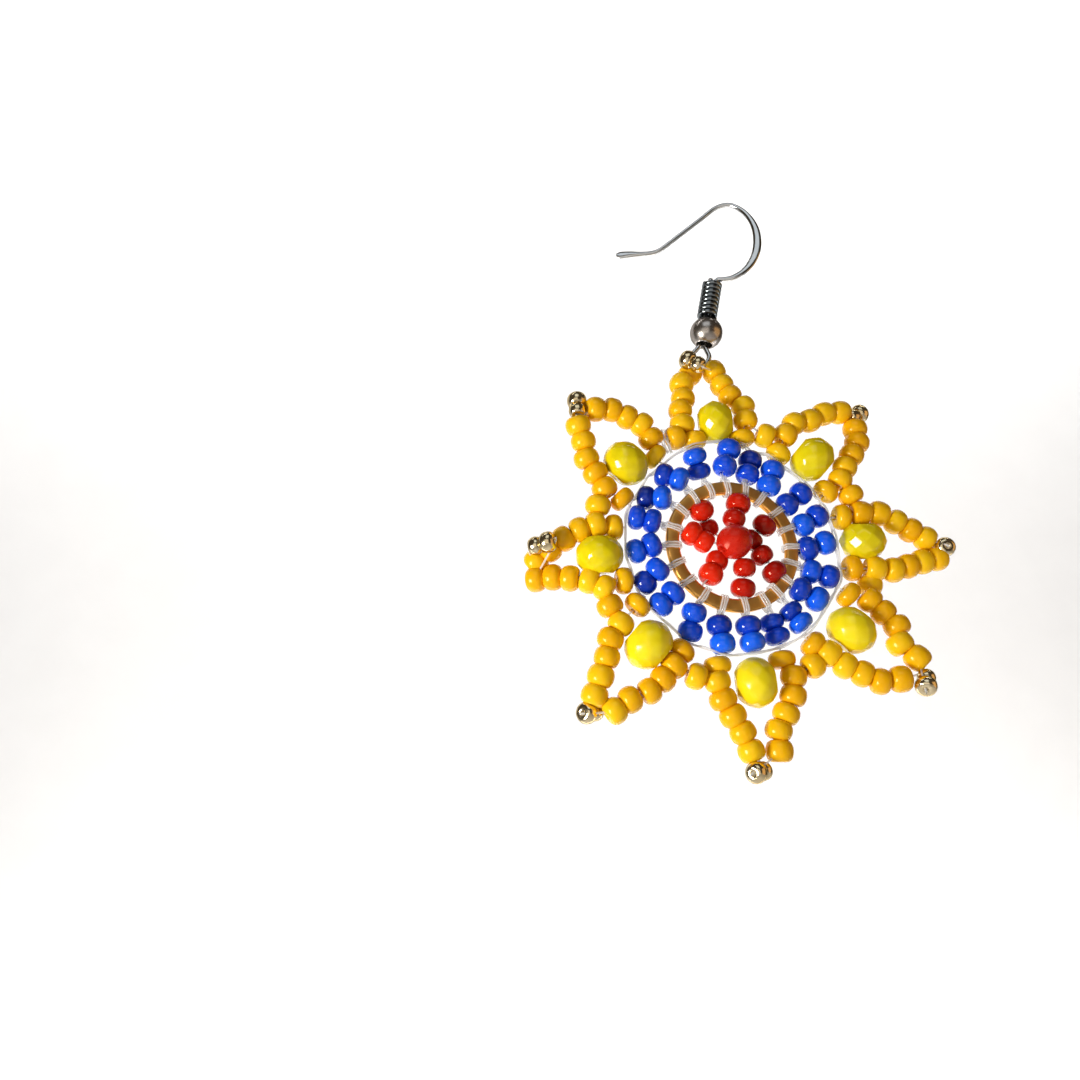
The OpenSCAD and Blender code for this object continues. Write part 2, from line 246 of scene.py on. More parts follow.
hook_rows = smooth_path([(*p, WIRE, WIRE) for p in STRAND_DOWN + EYE_TURN + STRAND_UP] + ARCH,
                        HOOK_STEPS)
add_piece("ear_wire", [wire_skin(hook_rows, WIRE_SIDES)], steel, "hook",
          ["ear_hook"])


# The ball on the two strands: a drilled steel bead, browner than the wire, with a soft edge
# round its hole. Both strands of the wire pass through it, between the eye and the coil.
BALL_R = 2.05
BALL_HOLE_R = 1.0
BALL_AT = (0.25, 0, 3.5)
BALL_TURNS = 56
BALL_ROWS = 9
LIP_WIDE = 0.12
LIP_SOFT = 0.03
LIP_TURN = 3


def lathe_skin(profile, turns, place):
    """A closed outline of (radius, height) turned about Z; place maps each point."""
    rings = [[place(Vector((r * cos(2 * pi * j / turns), r * sin(2 * pi * j / turns), h)))
              for r, h in profile] for j in range(turns)]
    return rings_skin(rings, closed=True)


ball_edge = degrees(atan2(BALL_R, BALL_HOLE_R + LIP_WIDE)) - LIP_TURN
ball_outline = [(BALL_R * cos(radians(a)), BALL_R * sin(radians(a)))
                for a in [ball_edge * (i / BALL_ROWS - 1) for i in range(2 * BALL_ROWS + 1)]]
lip_h = ball_outline[-1][1]
ball_outline += [(BALL_HOLE_R + LIP_SOFT, lip_h - 0.02), (BALL_HOLE_R, lip_h - LIP_WIDE),
                 (BALL_HOLE_R, 0), (BALL_HOLE_R, LIP_WIDE - lip_h),
                 (BALL_HOLE_R + LIP_SOFT, 0.02 - lip_h)]
add_piece("steel_ball", [lathe_skin(ball_outline, BALL_TURNS,
                                    lambda p: hook_point(*(p + Vector(BALL_AT))))],
          steel_finish("ball_steel", (0.40, 0.36, 0.33), (0.60, 0.55, 0.51), 0.15, 0.2),
          "hook", ["hook_ball"])


# The coil above the ball: darker steel wire, a little thinner than the hook's, wound tight
# round both strands to bind them and to keep the ball in its place.
COIL_R = 1.0
COIL_WIRE_R = 0.29
COIL_PITCH = 0.6
COIL_TURNS = 8.5
COIL_UP = 5.65
COIL_STEPS = 28
COIL_SIDES = 10

coil_rings = []
for i in range(int(COIL_STEPS * COIL_TURNS) + 1):
    a = 2 * pi * i / COIL_STEPS
    ring = []
    for j in range(COIL_SIDES):
        q = 2 * pi * j / COIL_SIDES
        r = COIL_R + COIL_WIRE_R * cos(q)
        ring.append(hook_point(r * cos(a), r * sin(a),
                               COIL_UP + COIL_PITCH * i / COIL_STEPS + COIL_WIRE_R * sin(q)))
    coil_rings.append(ring)
add_piece("wire_coil", [rings_skin(coil_rings)],
          steel_finish("coil_steel", (0.15, 0.17, 0.18), (0.30, 0.33, 0.35), 0.12),
          "hook", ["hook_coil"])


# The flat gold ring that carries the whole star: a stamped brass washer with a satin face
# and rounded edges. The red flower is sewn inside it and the blue band outside.
STAR_AT = Vector((-5.6316, 0.2497, -47.5258))
HUB = Vector((-0.3, 0, 0.1))
RING_OUT = 7.9
RING_IN = 6.4
RING_HALF = 0.45
RING_BEVEL = 0.26
RING_TURNS = 144


def star_point(x, y, z):
    return STAR_AT + Vector((x, y, z))


ring_outline = []
for corner_r, corner_h, start in ((RING_OUT, RING_HALF, 0), (RING_IN, RING_HALF, 90),
                                  (RING_IN, -RING_HALF, 180), (RING_OUT, -RING_HALF, 270)):
    middle_r = corner_r + (RING_BEVEL if corner_r == RING_IN else -RING_BEVEL)
    middle_h = corner_h - (RING_BEVEL if corner_h > 0 else -RING_BEVEL)
    ring_outline += [(middle_r + RING_BEVEL * cos(radians(start + a)),
                      middle_h + RING_BEVEL * sin(radians(start + a))) for a in (0, 30, 60, 90)]

gold, wire = new_finish("satin_gold", Metallic=1.0, Specular_Tint=(0.85, 0.66, 0.40, 1))
brushing = wire.noise(1400, 4)
tarnish = wire.noise(170, 2)
connect(gold, Base_Color=tarnish.dye((0.74, 0.33, 0.065, 1), (1.0, 0.56, 0.15, 1)),
        Roughness=0.32 + 0.2 * brushing, Normal=wire.bump(brushing, 0.25, 0.00008))
add_piece("flat_ring", [lathe_skin(ring_outline, RING_TURNS,
                                   lambda p: STAR_AT + HUB + Vector((p.x, p.z, p.y)))],
          gold, "star", ["gold_ring"])


# The red flower inside the ring: seven spokes of two seed beads each, strung from the ring
# towards the middle. The beads are opaque glass, slightly uneven as seed beads are, and
# painted darker the further right they sit: painted shade.
SEED_HOLE = 0.17
SEED_TURNS = 18
SEED_ROWS = 12
SEED_FLAT = 0.47
SEED_BULGE = 2.2
ROUND_FLAT = 0.34
RED_OUTER = (2.9, 2.15)
RED_INNER = (2.65, 2.1)
# painted shade: how much darker a red bead is painted per millimetre to the right
RED_PAINTED_SHADE = 0.06
RED_SPOKES = [  # outer bead x, z, inner bead x, z, how far back the inner bead sits
    (4.00, 2.53, 2.53, 1.07, 0.85), (1.20, 5.25, 0.27, 3.33, -0.35),
    (-3.39, 4.53, -2.59, 2.67, 1.1), (-4.99, 1.73, -3.65, 0.67, -0.1),
    (-3.39, -3.20, -2.35, -1.60, 0.2), (0.19, -4.99, 0.59, -2.67, -0.35),
    (4.27, -3.20, 3.20, -1.07, 0.2)]
dice = random.Random(7)


def seed_bead(centre, hole_way, width, length, flat=SEED_FLAT):
    """Skin of one seed bead in millimetres, its hole along hole_way, none quite alike."""
    r, up = width / 2, length / 2
    hole = SEED_HOLE * r
    outline = [(hole, -up * 0.86), (hole * 1.3, -up * 0.95), (r * flat * 0.7, -up * 0.985)]
    for i in range(SEED_ROWS + 1):
        a = pi * (i / SEED_ROWS - 0.5)
        outline.append((r * (flat + (1 - flat) * abs(cos(a)) ** (2 / SEED_BULGE)),
                        up * abs(sin(a)) ** (2 / SEED_BULGE) * (1 if a > 0 else -1)))
    outline += [(r * flat * 0.7, up * 0.985), (hole * 1.3, up * 0.95), (hole, up * 0.86)]
    turn = Vector(hole_way).to_track_quat("Z", "Y").to_matrix()
    turn = turn @ Matrix.Rotation(dice.uniform(0, 2 * pi), 3, "Z")
    turn = turn @ Matrix.Rotation(radians(dice.gauss(0, 2.5)), 3, "X")
    uneven = dice.uniform(-0.02, 0.02)
    size = dice.uniform(0.985, 1.02)
    stretch = Matrix.Diagonal((size + uneven, size - uneven, dice.uniform(0.97, 1.02)))
    grow = turn @ stretch
    return lathe_skin(outline, SEED_TURNS, lambda p: centre + grow @ p)


def glass_finish(name, dark, mid, light, streak=0.5, gloss=(1, 1, 1, 1), rough=0.05):
    """Opaque glass: each bead its own colour at random, plus painted shade on the red and blue
    beads; faint streaks, and a wet gloss.
    """
    finish, wire = new_finish(name, IOR=1.47, Specular_Tint=gloss, Subsurface_Weight=0.1,
                              Subsurface_Radius=(1.0, 0.6, 0.3), Subsurface_Scale=0.0006)
    # each bead's random colour, with painted shade added on the red and blue beads
    shade = wire.node("Attribute", {"attribute_name": "tone"}, output="Fac")
    swirl = wire.noise(700, 3)
    pits = wire.noise(2600, 2)
    place = shade * (1 - streak) + swirl * streak
    colour = wire.node("ValToRGB", {"stops": ((0.15, dark), (0.5, mid), (0.85, light))},
                       {0: place})
    connect(finish, Base_Color=colour, Roughness=rough + 0.08 * pits,
            Normal=wire.bump(swirl, 0.08, 0.0001))
    return finish


red_glass = glass_finish("red_glass", (0.23, 0.004, 0.002), (0.49, 0.009, 0.003),
                         (0.86, 0.025, 0.005), 0.3, (1, 0.6, 0.45, 1))
red_skins, red_tones_and_shade = [], []
for x, z, inner_x, inner_z, back in RED_SPOKES:
    outer, inner = star_point(x, 0, z), star_point(inner_x, back, inner_z)
    red_skins.append(seed_bead(outer, outer - inner, *RED_OUTER, ROUND_FLAT))
    red_skins.append(seed_bead(inner, outer - inner, *RED_INNER, ROUND_FLAT))
    # Painted shade: each red bead's random colour, painted darker the further right it sits.
    red_tones_and_shade += [dice.uniform(0.5, 0.75) - RED_PAINTED_SHADE * x,
                  dice.uniform(0.4, 0.7) - RED_PAINTED_SHADE * inner_x]
add_piece("red_beads", red_skins, red_glass, "star",
          ["red_spoke_%d" % k for k in range(1, 8)], red_tones_and_shade)


# The bead in the middle of the flower: red fire-polished glass cut with diamond facets,
# sewn on through its own hole, a little in front of the spokes.
CUT_SIDES = 8
CUT_ROWS = [(-0.5, 0.515, 1), (-0.38, 0.747, 0), (-0.22, 0.924, 1), (0, 1, 0),
            (0.22, 0.924, 1), (0.38, 0.747, 0), (0.5, 0.515, 1)]  # height, width, half a step
CUT_ROUND = 0.575
CUT_STEPS = 5
HEART_D = 4.0
HEART_LENGTH = 3.68
HEART_HOLE = 0.8
HEART_FORWARD = 1.38
HEART_ASIDE = Vector((-0.25, -HEART_FORWARD, 0.05))
HEART_TURN = 59
HEART_MELT = 0.72


def cut_bead(name, width, length, hole, place, finish, nodes, melt):
    """A faceted bead on its node's place; melt is how far the fire has rounded its facets."""
    n, last = CUT_SIDES, len(CUT_ROWS) - 1
    points = []
    for height, wide, step in CUT_ROWS:
        for j in range(n):
            a = 2 * pi * (j + step / 2) / n
            points.append(Vector((wide * width / 2 * cos(a), wide * width / 2 * sin(a),
                                  height * length)))
    facets = []
    for i in range(1, last):
        for j in range(n):
            m = (j + CUT_ROWS[i][2]) % n
            facets.append((i * n + j, (i - 1) * n + m, i * n + (j + 1) % n, (i + 1) * n + m))
    for j in range(n):
        facets.append((j, (j + 1) % n, n + (j + 1) % n, n + (j + 1) % n))
        facets.append((last * n + j, (last - 1) * n + (j + 1) % n, last * n + (j + 1) % n,
                       last * n + (j + 1) % n))
    skin_points, faces = [], []
    for facet in facets:
        p0, p1, p2, p3 = (points[corner] for corner in facet)
        melted = melt if n <= facet[0] < last * n else 0
        start = len(skin_points)
        for u in range(CUT_STEPS + 1):
            for v in range(CUT_STEPS + 1):
                p = p0.lerp(p1, u / CUT_STEPS).lerp(p3.lerp(p2, u / CUT_STEPS), v / CUT_STEPS)
                round_p = p / hypot(p.x / (width / 2), p.y / (width / 2),
                                    p.z / (CUT_ROUND * length))
                skin_points.append(p.lerp(round_p, melted))
                if u and v:
                    w = start + u * (CUT_STEPS + 1) + v
                    faces.append((w, w - 1, w - CUT_STEPS - 2, w - CUT_STEPS - 1))
    for side, up in ((0, -0.5), (last * n, 0.5)):
        rim = len(skin_points)
        skin_points += points[side:side + n]
        for h in (up, up * 0.94, up * 0.1):
            for j in range(n):
                a = 2 * pi * (j + 0.5) / n
                wide = hole / 2 * (1.15 if h == up else 1)
                skin_points.append(Vector((wide * cos(a), wide * sin(a), h * length)))
        for i in range(3):
            for j in range(n):
                m = (j + 1) % n
                faces.append((rim + i * n + j, rim + i * n + m, rim + (i + 1) * n + m,
                              rim + (i + 1) * n + j))
    piece = add_piece(name, [([place(p) for p in skin_points], faces)], finish, "star",
                      nodes)
    form = bmesh.new()
    form.from_mesh(piece.data)
    bmesh.ops.remove_doubles(form, verts=form.verts, dist=1e-6)
    bmesh.ops.recalc_face_normals(form, faces=form.faces)
    form.to_mesh(piece.data)
    form.free()
    return piece


heart_glass = glass_finish("heart_glass", (0.24, 0.005, 0.003), (0.60, 0.014, 0.005),
                           (0.86, 0.025, 0.005), 0.3, (1, 0.6, 0.45, 1), 0.24)
heart_turn = Matrix.Rotation(radians(HEART_TURN), 3, "Y")
cut_bead("heart", HEART_D, HEART_LENGTH, HEART_HOLE,
         lambda p: STAR_AT + HUB + HEART_ASIDE + heart_turn @ p,
         heart_glass, ["heart_bead"], HEART_MELT)


# The blue band: twenty spokes of two cobalt seed beads round the ring, sewn out from it and
# held apart by thread. A few spokes lie further back than their neighbours, and those beads
# are painted darker: painted shade.
BLUE_SPOKES = [  # outer bead x, z, inner bead x, z, how far back the outer and the inner sit
    (1.07, 12.27, 0.13, 10.00, -0.1, -0.3), (3.87, 11.07, 3.07, 9.15, 0.7, 0.3),
    (6.19, 9.47, 5.33, 7.47, 0, -0.1), (9.20, 6.40, 7.33, 5.12, -0.1, 0.1),
    (10.80, 3.55, 8.93, 2.53, 0, 0.2), (11.07, 0.13, 8.88, -0.45, -0.2, 0.1),
    (10.93, -3.92, 8.93, -3.20, 0.1, 0.3), (8.93, -6.59, 7.01, -5.41, 0, -0.1),
    (6.53, -9.25, 5.68, -7.79, 0.2, 0.5), (3.65, -10.59, 3.33, -8.93, 0.7, 0.9),
    (0.19, -11.33, 0.08, -9.39, -0.3, -0.1), (-3.25, -11.31, -3.28, -9.20, -0.2, 0),
    (-6.51, -9.60, -5.97, -7.60, 0.6, 0), (-9.68, -6.53, -8.19, -5.33, 0, -0.2),
    (-11.07, -3.81, -9.60, -2.48, 0.5, -0.1), (-11.81, -0.19, -10.00, 0.40, 0.1, -0.2),
    (-11.28, 3.87, -9.55, 3.28, 0.1, -0.2), (-9.71, 6.48, -8.00, 6.13, 0.6, -0.2),
    (-7.28, 9.15, -5.73, 8.35, 0.3, -0.4), (-3.33, 11.39, -2.88, 9.68, -0.1, 0.5)]

BLUE_WIDTH = 2.9
BLUE_LENGTH = 2.2
BLUE_FILL = 1.05
# painted shade: how much darker a blue bead is painted per millimetre that it lies back
BLUE_PAINTED_SHADE = 0.35
blue_glass = glass_finish("blue_glass", (0.003, 0.012, 0.17), (0.006, 0.065, 0.70),
                          (0.010, 0.150, 1.00), 0.25)
blue_skins, blue_tones_and_shade = [], []
for x, z, inner_x, inner_z, back, inner_back in BLUE_SPOKES:
    outer, inner = star_point(x, back, z), star_point(inner_x, inner_back, inner_z)
    for centre, depth in ((outer, back), (inner, inner_back)):
        length = min(BLUE_LENGTH, BLUE_FILL * (outer - inner).length)
        blue_skins.append(seed_bead(centre, outer - inner, BLUE_WIDTH, length, ROUND_FLAT))
        # Painted shade: each blue bead's random colour, painted darker the further back it lies.
        blue_tones_and_shade.append(dice.uniform(0.3, 0.9) - BLUE_PAINTED_SHADE * max(depth, 0))
add_piece("blue_beads", blue_skins, blue_glass, "star", ["blue_band"], blue_tones_and_shade)


# The eight faceted beads at the feet of the petals: lemon glass, fire-polished, their holes
# across the petal, each turned its own way on the thread. The three lower stones are painted
# lighter and the others darker: painted light and shade.
PETAL_STAND = (0, 0, 0, 0.8, 0, 0, 0, 0)
PETAL_LIFT = (-1.8, -0.5, 0, 1.2, -0.5, -0.5, -2.6, 0.8)
STONES = [  # radius, sideways place, diameter, turn of the hole to the front, spin about it
    (15.9, 0.1, 5.3, -18, 18), (15.85, -0.45, 5.7, -3, 24), (16.0, 0.3, 5.47, 22, 20),
    (15.9, 0.98, 5.81, 18, 36), (15.75, -0.02, 5.7, 18, 0), (16.0, -0.46, 5.81, 3, 20),
    (16.1, 0.57, 5.53, -12, 30), (15.85, 0.85, 5.7, -18, 5)]
STONE_SHAPE = 0.754
STONE_HOLE = 0.9
# A shaded copy and a lit copy of the same lemon glass: painted light and shade.
LEMON_SHADED_AND_LIT = (((0.66, 0.52, 0.003), (0.80, 0.65, 0.005), (0.88, 0.74, 0.010)),
          ((0.84, 0.65, 0.004), (0.93, 0.75, 0.010), (0.95, 0.80, 0.018)))
# painted light: the three lower stones take the lit copy, the others the shaded copy
LEMON_LIGHTING_OF = (0, 0, 0, 1, 1, 1, 0, 0)
LEMON_ROUGH = (0.06, 0.17)
STONE_MELT = (0.25, 0.5, 0, 0.56, 0.58, 0.56, 0.5, 0.45)


def petal_point(k, r, t, y):
    """A point of petal k, clockwise from the top: radius, sideways place, depth."""
    a = radians(90 - 45 * k)
    return star_point(r * cos(a) - t * sin(a), y, r * sin(a) + t * cos(a))


# The shaded and the lit lemon glass: painted light and shade, each with a roughness of its own.
lemon_glass_painted_light = [glass_finish("lemon_glass_%d" % i, *LEMON_SHADED_AND_LIT[i], 0.8, rough=LEMON_ROUGH[i])
               for i in range(2)]
for k in range(8):
    r, t, wide, yaw, spin = STONES[k]
    middle = petal_point(k, r, t, -PETAL_STAND[k])
    turn = (Matrix.Rotation(radians(45 * k - 90), 3, "Y") @ Matrix.Rotation(radians(yaw), 3, "X")
            @ Matrix.Rotation(radians(spin), 3, "Z"))
    cut_bead("stone_bead_%d" % (k + 1), wide, wide * STONE_SHAPE, STONE_HOLE,
             lambda p: middle + turn @ p, lemon_glass_painted_light[LEMON_LIGHTING_OF[k]],
             ["stone_%d" % (k + 1)], STONE_MELT[k])


# The eight petals: two strings of five yellow seed beads that meet at a point, each with a
# base bead of its own beside the faceted bead. Opaque warm yellow glass.
ARMS = [  # for each petal the left string, then the right: radius and sideways place
    [(15.6, 4.3), (17.6, 4.2), (19.4, 3.5), (21.7, 3.2), (23.4, 1.7)],
    [(16.2, -3.8), (18.1, -3.9), (19.8, -2.6), (21.6, -2.0), (23.8, -1.5)],
    [(16.1, 3.9), (18.2, 4.0), (20.1, 2.8), (22.3, 2.0), (24.1, 0.6)],
    [(16.1, -4.6), (18.0, -4.1), (20.1, -3.8), (22.1, -3.4), (23.6, -2.2)],
    [(16.4, 3.8), (18.7, 3.7), (20.7, 2.6), (22.4, 1.5), (24.1, 0.4)],
    [(16.8, -3.2), (19.1, -3.4), (21.0, -3.0), (23.0, -2.5), (25.0, -2.2)],
    [(15.6, 5.5), (17.6, 5.3), (19.6, 4.9), (20.9, 3.2), (23.2, 3.0)],
    [(15.4, -3.1), (17.6, -3.0), (19.6, -2.5), (21.5, -2.0), (23.0, -0.4)],
    [(15.3, 4.5), (17.4, 4.1), (19.3, 3.0), (21.0, 1.9), (23.2, 1.7)],
    [(15.4, -4.4), (17.4, -4.0), (19.2, -3.1), (21.0, -2.2), (23.0, -1.5)],
    [(15.9, 3.1), (17.9, 3.1), (19.9, 2.8), (22.0, 1.8), (24.0, 1.3)],
    [(16.3, -4.2), (18.4, -4.0), (20.2, -3.0), (22.2, -2.2), (24.2, -1.4)],
    [(15.9, 4.4), (17.5, 3.4), (19.5, 2.9), (21.3, 2.5), (23.1, 2.4)],
    [(16.1, -3.1), (18.0, -2.6), (19.8, -1.8), (21.4, -0.8), (22.9, 0.3)],
    [(15.7, 5.1), (17.7, 4.4), (19.6, 3.8), (21.2, 2.5), (22.9, 1.5)],
    [(15.7, -3.8), (17.6, -4.4), (19.5, -3.8), (21.4, -3.1), (22.8, -1.6)]]
BASES = [  # for each petal the left base bead, then the right
    (13.7, 2.93), (13.87, -3.1), (13.63, 3.07), (13.77, -4.15), (14.05, 3.47), (14.13, -2.93),
    (13.4, 4.45), (13.5, -3.3), (13.33, 3.6), (13.6, -4.0), (13.9, 2.78), (13.2, -4.15),
    (13.55, 3.55), (14.05, -2.8), (13.4, 4.53), (13.95, -2.45)]
BASE_BACK = 0.35
BASE_SIZE = (3.1, 1.85)
YELLOW_WIDTH = 3.0
YELLOW_SHORT = 2.1
YELLOW_LONG = 2.45
YELLOW_FILL = 1.06

yellow_glass = glass_finish("yellow_glass", (0.88, 0.43, 0.002), (0.93, 0.51, 0.004),
                            (0.96, 0.58, 0.007), 0.3, (1, 0.88, 0.5, 1), 0.17)


def arm_places(k, side):
    """Centres of an arm's five beads, bending forward or back towards the point."""
    row = ARMS[2 * k + side]
    return [petal_point(k, r, t, -PETAL_STAND[k] - PETAL_LIFT[k] * (i / 4) ** 1.5)
            for i, (r, t) in enumerate(row)]


def base_place(k, side):
    r, t = BASES[2 * k + side]
    return petal_point(k, r, t, BASE_BACK - PETAL_STAND[k])


for k in range(8):
    skins = []
    for side in (0, 1):
        places = arm_places(k, side)
        for i, centre in enumerate(places):
            before, after = places[max(i - 1, 0)], places[min(i + 1, 4)]
            gap = min((centre - p).length for p in (before, after) if p is not centre)
            length = min(max(YELLOW_FILL * gap, YELLOW_SHORT), YELLOW_LONG)
            skins.append(seed_bead(centre, after - before, YELLOW_WIDTH, length))
        skins.append(seed_bead(base_place(k, side), petal_point(k, 1, 0, 0) - STAR_AT, *BASE_SIZE))
    add_piece("petal_beads_%d" % (k + 1), skins, yellow_glass, "star",
              ["petal_%d_left" % (k + 1), "petal_%d_right" % (k + 1)],
              [dice.random() for _ in skins])


# The linking beads: one yellow seed bead in each valley ties two petals together, its hole
# along the way round the star.
VALLEYS = [  # radius, angle, how far back
    (15.3, 67, 0), (16.8, 21.4, 0), (17.0, -16.8, 0.9), (15.8, -64.5, -0.4),
    (16.2, -114.4, 0), (16.8, -157.4, 0.1), (16.6, 161, 0), (14.9, 111.2, 0)]
LINK_SIZE = (3.0, 2.1)


def valley_place(k):
    r, a, back = VALLEYS[k]
    return star_point(r * cos(radians(a)), back, r * sin(radians(a)))


def valley_way(k):
    a = radians(VALLEYS[k][1])
    return Vector((sin(a), 0, -cos(a)))


valley_skins = [seed_bead(valley_place(k), valley_way(k), *LINK_SIZE) for k in range(8)]
add_piece("linking_beads", valley_skins, yellow_glass, "star", ["valley_beads"],
          [dice.random() for _ in valley_skins])


# The gold beads at the points: two small metal seed beads on each petal, on one thread that
# ties the ends of its two strings. The top two sit in front of the hook's eye.
TIP_SIZES = ((2.35, 1.65), (2.05, 1.5))
TIPS = [  # for each petal the front bead, then the other: radius, sideways place, depth
    ((24.19, 2.58, -0.48), (23.13, 1.65, -1.2)), ((26.67, -1.5, 1.57), (25.23, -1.04, 1.1)),
    ((25.89, -0.99, -0.82), (26.25, -0.77, 0.74)), ((25.29, 0.38, -3.12), (25.14, 1.67, -2.24)),
    ((25.34, -1.7, -0.51), (25.16, -0.52, 0.47)), ((26.05, -0.79, 1.16), (25.11, -0.15, 2.22)),
    ((22.02, -0.81, -0.92), (23.27, -0.73, -0.03)), ((25.19, -1.14, -0.31), (24.22, 0.01, -0.67))]

bright_gold, wire = new_finish("bright_gold", Metallic=1.0, Specular_Tint=(0.3, 0.22, 0.08, 1))
dents = wire.noise(650, 2)
rub = wire.noise(2200, 2)
connect(bright_gold, Base_Color=dents.dye((0.74, 0.56, 0.28, 1), (0.96, 0.86, 0.62, 1)),
        Roughness=0.08 + 0.14 * rub, Normal=wire.bump(dents, 0.5, 0.0002))

tip_places = [[petal_point(k, *spot) for spot in TIPS[k]] for k in range(8)]
for k in range(8):
    front, other = tip_places[k]
    skins = [seed_bead(place, other - front, *TIP_SIZES[i])
             for i, place in enumerate(tip_places[k])]
    add_piece("gold_tips_%d" % (k + 1), skins, bright_gold, "star",
              ["tip_beads_%d" % (k + 1)])


# The clear thread, fine nylon line. Three strands wrap over the gold ring at each blue spoke,
# two run in scallops round the band, and one strings every petal from base bead to base bead.
THREAD_R = 0.12
THREAD_SIDES = 8


def thread_skin(points, radius=THREAD_R, closed=False, steps=4):
    path = [Vector(p) for p in smooth_path(points, steps, closed)]
    count = len(path)
    rings = []
    side = None
    for i, p in enumerate(path):
        after = path[(i + 1) % count] if closed else path[min(i + 1, count - 1)]
        before = path[i - 1] if closed or i else path[0]
        along = (after - before).normalized()
        if side is None:
            side = along.orthogonal().normalized()
        side = (side - along * side.dot(along)).normalized()
        across = along.cross(side)
        rings.append([p + radius * (cos(2 * pi * j / THREAD_SIDES) * side
                                    + sin(2 * pi * j / THREAD_SIDES) * across)
                      for j in range(THREAD_SIDES)])
    return rings_skin(rings, closed)


nylon, wire = new_finish("clear_nylon", Alpha=0.5, IOR=1.5)
haze = wire.noise(1800, 2)
connect(nylon, Base_Color=haze.dye((0.90, 0.89, 0.86, 1), (0.98, 0.98, 0.97, 1)),
        Roughness=0.03 + 0.12 * haze, Normal=wire.bump(haze, 0.1, 0.00005))

WRAP = [  # radius, depth
    (9.3, 0.0), (8.3, -0.1), (8.0, -0.5), (7.5, -0.6), (6.8, -0.6), (6.34, -0.5),
    (6.16, 0), (6.32, 0.58), (6.8, 0.62), (7.5, 0.62), (8.05, 0.55), (8.5, 0.2)]
WRAP_APART = 0.21
wraps = []
for _, _, inner_x, inner_z, _, _ in BLUE_SPOKES:
    a = atan2(inner_z - HUB.z, inner_x - HUB.x)
    out, round_way = Vector((cos(a), 0, sin(a))), Vector((-sin(a), 0, cos(a)))
    lean = dice.uniform(-0.3, 0.3)
    for aside in (-WRAP_APART, 0.02, WRAP_APART):
        wraps.append(thread_skin([
            STAR_AT + HUB + out * r + Vector((0, y, 0))
            + round_way * (aside * (1 + 0.5 * dice.random()) + lean * (7.1 - r) * 0.4)
            for r, y in WRAP]))
add_piece("ring_wraps", wraps, nylon, "star")

SCALLOP_OUT = 1.12
SCALLOP_SWELL = 1.35
scallops = []
for strand in range(2):
    points = []
    for i, (x, z, inner_x, inner_z, back, inner_back) in enumerate(BLUE_SPOKES):
        outer = star_point(x, back, z)
        way = (outer - star_point(inner_x, inner_back, inner_z)).normalized()
        points.append(outer + way * (SCALLOP_OUT + 0.25 * strand)
                      + Vector((0, 0.1 - 0.4 * strand, 0)))
        after = BLUE_SPOKES[(i + 1) % len(BLUE_SPOKES)]
        half_x, half_z = (x + after[0]) / 2, (z + after[1]) / 2
        r = hypot(half_x, half_z)
        swell = (r + SCALLOP_SWELL) / r
        points.append(star_point(half_x * swell, -0.1 - 0.35 * strand, half_z * swell))
    scallops.append(thread_skin(points, closed=True))
add_piece("band_scallops", scallops, nylon, "star")

BASE_RUN = 1.4
petal_threads = []
for k in range(8):
    left, right = arm_places(k, 0), arm_places(k, 1)
    front, other = tip_places[k]
    out = (front - other).normalized()
    inward = (STAR_AT - petal_point(k, 1, 0, 0)) * BASE_RUN
    petal_threads.append(thread_skin(
        [base_place(k, 0) + inward, base_place(k, 0)] + left
        + [front + out, front, other, other - out] + right[::-1]
        + [base_place(k, 1), base_place(k, 1) + inward]))
    petal_threads.append(thread_skin([right[0], valley_place(k), arm_places((k + 1) % 8, 0)[0]]))
add_piece("petal_threads", petal_threads, nylon, "star", ["bead_threads"])

FLOWER_RIM = 6.3
flower_threads = []
for x, z, inner_x, inner_z, back in RED_SPOKES:
    rim = Vector((x - HUB.x, 0, z - HUB.z)).normalized() * FLOWER_RIM
    flower_threads.append(thread_skin([
        STAR_AT + HUB + rim, star_point(x, 0, z), star_point(inner_x, back, inner_z),
        STAR_AT + HUB + Vector((0, -HEART_FORWARD / 2, 0))]))
add_piece("flower_threads", flower_threads, nylon, "star")


# The tie at the top: the thread passes twice round the foot of the eye and goes down to the
# top petal, and its ends are knotted in the valley left of that petal.
LOOP_R = 0.65
LOOP_ASIDE = (-0.12, 0.14)
LOOP_STEPS = 12
loops = []
for aside in LOOP_ASIDE:
    loops.append(thread_skin([
        hook_point(aside + 0.05 * sin(a), LOOP_R * cos(a), LOOP_R * sin(a) - EYE_R)
        for a in [2 * pi * i / LOOP_STEPS for i in range(LOOP_STEPS)]], closed=True))
for i, aside in enumerate(LOOP_ASIDE):
    foot = hook_point(aside, -0.25, -LOOP_R - EYE_R)
    loops.append(thread_skin([foot, foot.lerp(tip_places[0][0], 0.5), tip_places[0][i]]))
add_piece("eye_tie", loops, nylon, "star", ["top_loop"])

KNOT_AT = Vector((-6.3, -0.4, 13.1))
KNOT_ENDS = 6
KNOT_R = 0.1
knot = []
for _ in range(KNOT_ENDS):
    points = [KNOT_AT + Vector((dice.uniform(-0.4, 0.4), dice.uniform(-0.3, 0.3), -1.3))]
    for _ in range(4):
        points.append(points[-1] + Vector((dice.uniform(-0.3, 0.1), dice.uniform(-0.2, 0.2),
                                           dice.uniform(0.6, 0.9))))
    knot.append(thread_skin([star_point(*p) for p in points], KNOT_R))
add_piece("thread_knot", knot, nylon, "star")


# The setting: a pale paper sweep behind and below, in a dim room that looks pale past its
# edges. Soft daylight comes from a window on the left, from the sky and from the room in
# front, with a warm bounce on the right and three lamps that whiten the paper alone.
FLOOR_Z = -0.26
WALL_Y = 0.32
SWEEP_R = 0.12
SWEEP_WIDE = 0.75
SWEEP_FRONT = -0.75
SWEEP_TOP = 0.9

